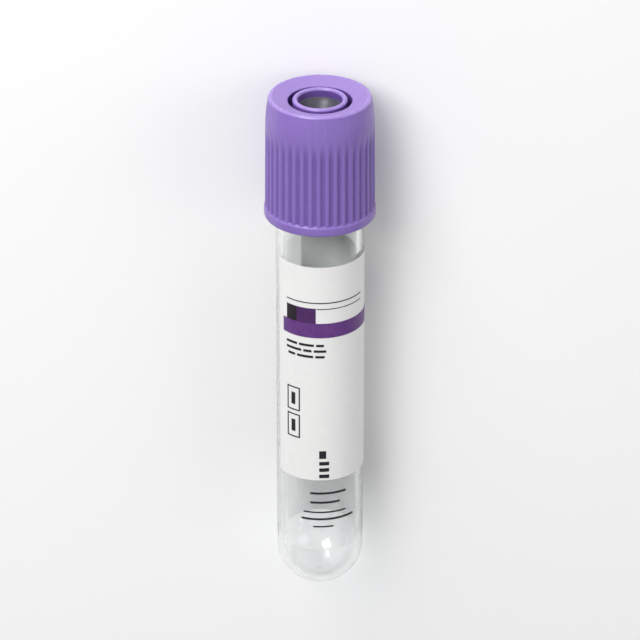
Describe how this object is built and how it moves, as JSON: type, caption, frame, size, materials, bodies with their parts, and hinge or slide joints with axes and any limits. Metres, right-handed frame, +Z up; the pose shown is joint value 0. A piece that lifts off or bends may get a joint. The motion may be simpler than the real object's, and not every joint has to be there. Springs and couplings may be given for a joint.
{
  "type": "evacuated blood collection tube",
  "caption": "Clear round-bottomed tube with a printed wrap label, a rubber stopper and a fluted lavender safety cap that pulls off, lying on its side.",
  "frame": {"origin": "centre of the bounding box's bottom, on the surface the tube lies on", "axes": "+X along the tube away from the cap, +Z up; the tube's own axis leans up by 1.78 degrees towards the cap, because the cap is thicker than the tube"},
  "size_m": [0.0816, 0.0164, 0.0167],
  "materials": {
    "tube": "clear moulded PET",
    "label_film": "clear satin film",
    "label_print_white": "white satin print",
    "label_print_purple": "purple satin print",
    "label_print_plum": "dark purple satin print",
    "label_print_ink": "near-black satin print",
    "safety_cap": "lavender moulded polyethylene, satin",
    "rubber_stopper": "grey moulded rubber"
  },
  "bodies": {
    "tube": {"tube": "tube", "label_film": "label_film", "label_print_white": "label_print_white", "label_print_purple": "label_print_purple", "label_print_plum": "label_print_plum", "label_print_ink": "label_print_ink"},
    "cap": {"safety_cap": "safety_cap", "rubber_stopper": "rubber_stopper"}
  },
  "joints": [
    {"name": "cap_pull", "type": "slide", "parent": "tube", "child": "cap", "axis": [-0.9995, 0, 0.031], "range_m": [0, 0.03]}
  ]
}
